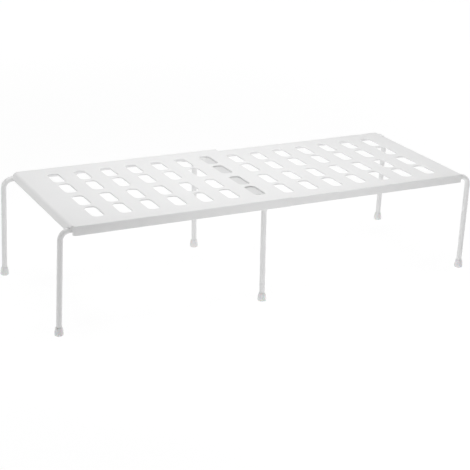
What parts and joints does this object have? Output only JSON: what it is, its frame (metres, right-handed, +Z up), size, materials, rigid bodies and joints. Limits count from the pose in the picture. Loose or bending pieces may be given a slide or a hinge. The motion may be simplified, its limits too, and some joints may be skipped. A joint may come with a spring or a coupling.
{
  "type": "expandable cabinet shelf",
  "caption": "Low white shelf on wire legs for a cabinet, with a slotted folded-steel top in two halves that slide over one another to change its length.",
  "frame": {"origin": "on the floor, under the middle of the shelf's box as it stands pulled out", "axes": "+X along the shelf from the outer half to the inner half, +Y from its front skirt to its back skirt, +Z up"},
  "size_m": [0.6266, 0.236, 0.146],
  "materials": {
    "powder_coated_steel": "satin white powder coat",
    "coated_leg_wire": "satin white powder coat",
    "moulded_white_plastic": "fine matte moulded surface"
  },
  "bodies": {
    "inner_half": {"inner_shelf_panel": "powder_coated_steel", "inner_front_leg_wire": "coated_leg_wire", "inner_back_leg_wire": "coated_leg_wire", "foot_cap_middle_front": "moulded_white_plastic", "foot_cap_middle_back": "moulded_white_plastic", "foot_cap_end_front": "moulded_white_plastic", "foot_cap_end_back": "moulded_white_plastic", "inner_front_leg_clip_1": "powder_coated_steel", "inner_front_leg_clip_2": "powder_coated_steel", "inner_front_leg_clip_3": "powder_coated_steel", "inner_back_leg_clip_1": "powder_coated_steel", "inner_back_leg_clip_2": "powder_coated_steel", "inner_back_leg_clip_3": "powder_coated_steel"},
    "outer_half": {"outer_shelf_panel": "powder_coated_steel", "outer_front_leg_wire": "coated_leg_wire", "outer_back_leg_wire": "coated_leg_wire", "foot_cap_outer_front": "moulded_white_plastic", "foot_cap_outer_back": "moulded_white_plastic", "outer_front_leg_clip_1": "powder_coated_steel", "outer_front_leg_clip_2": "powder_coated_steel", "outer_back_leg_clip_1": "powder_coated_steel", "outer_back_leg_clip_2": "powder_coated_steel"}
  },
  "joints": [
    {"name": "length_slide", "type": "slide", "parent": "inner_half", "child": "outer_half", "axis": [1, 0, 0], "range_m": [0, 0.165]}
  ]
}
